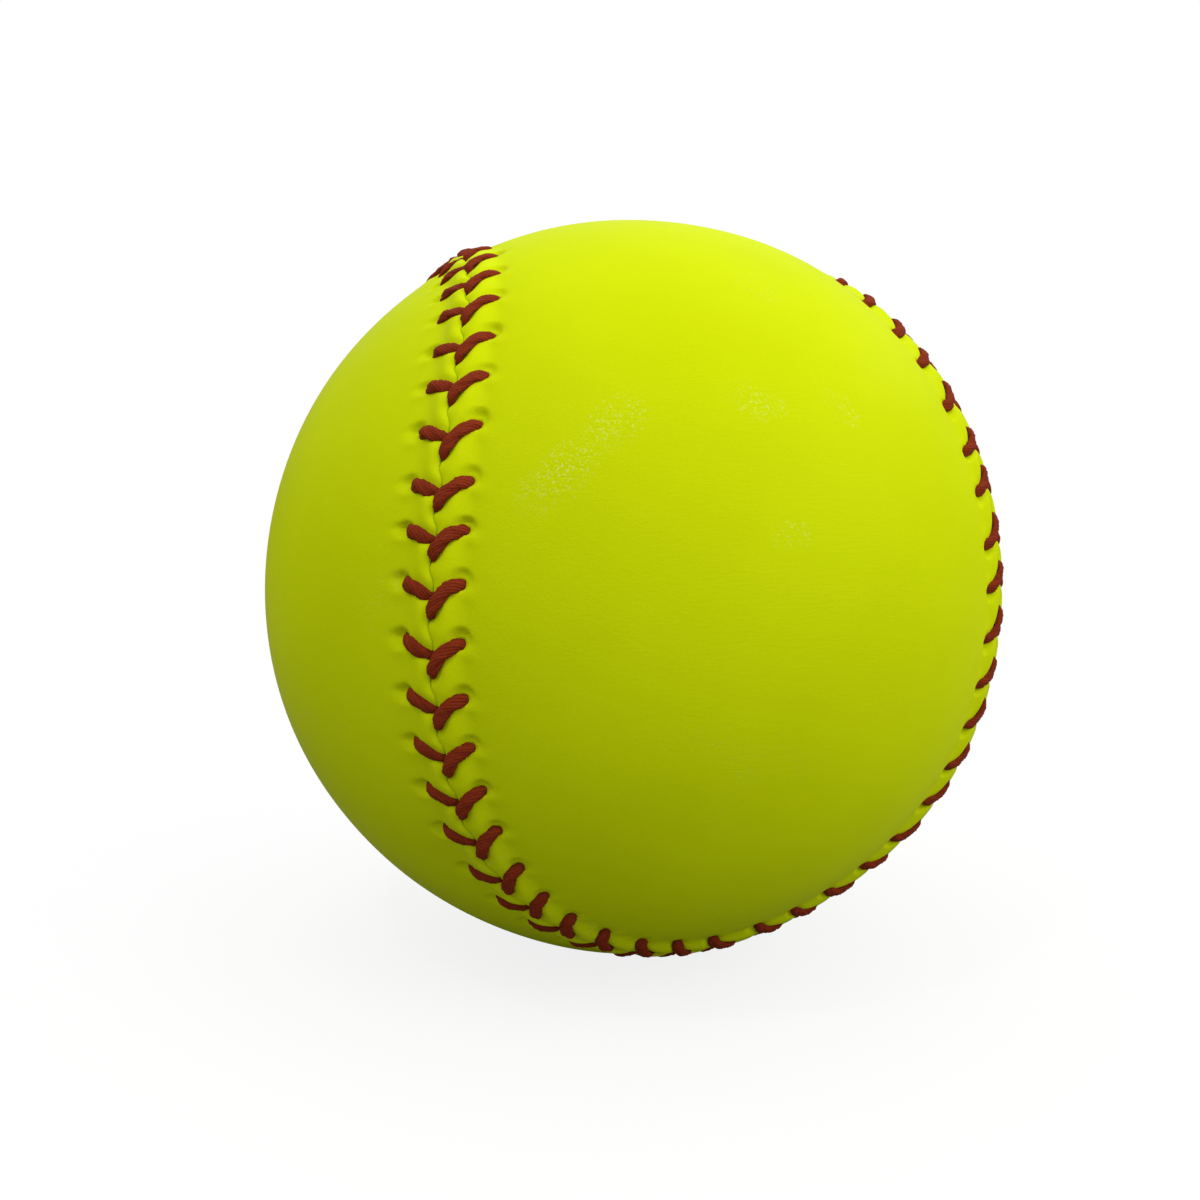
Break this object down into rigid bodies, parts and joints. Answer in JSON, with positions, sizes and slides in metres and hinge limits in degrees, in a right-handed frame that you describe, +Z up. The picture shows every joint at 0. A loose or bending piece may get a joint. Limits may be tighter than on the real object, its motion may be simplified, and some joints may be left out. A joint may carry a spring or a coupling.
{
  "type": "softball",
  "caption": "Softball with a moulded core, yarn winding and two cemented figure-eight leather covers laced together by raised two-needle stitching; thrown, pitched and hit",
  "frame": {"origin": "the middle of the ball", "axes": "+Z up through the middle of the upper cover's waist, -Y through the middle of the upper cover's front lobe, +X through a lobe of the lower cover"},
  "size_m": [0.097, 0.097, 0.097],
  "materials": {
    "core": "matte",
    "yarn": "matte",
    "cement": "satin",
    "cover_leather": "satin",
    "lacing_thread": "waxed"
  },
  "bodies": {
    "root": {"core": "core", "yarn_winding": "yarn", "upper_cement": "cement", "lower_cement": "cement", "upper_cover": "cover_leather", "lower_cover": "cover_leather", "first_needle_thread": "lacing_thread", "second_needle_thread": "lacing_thread"}
  },
  "joints": []
}
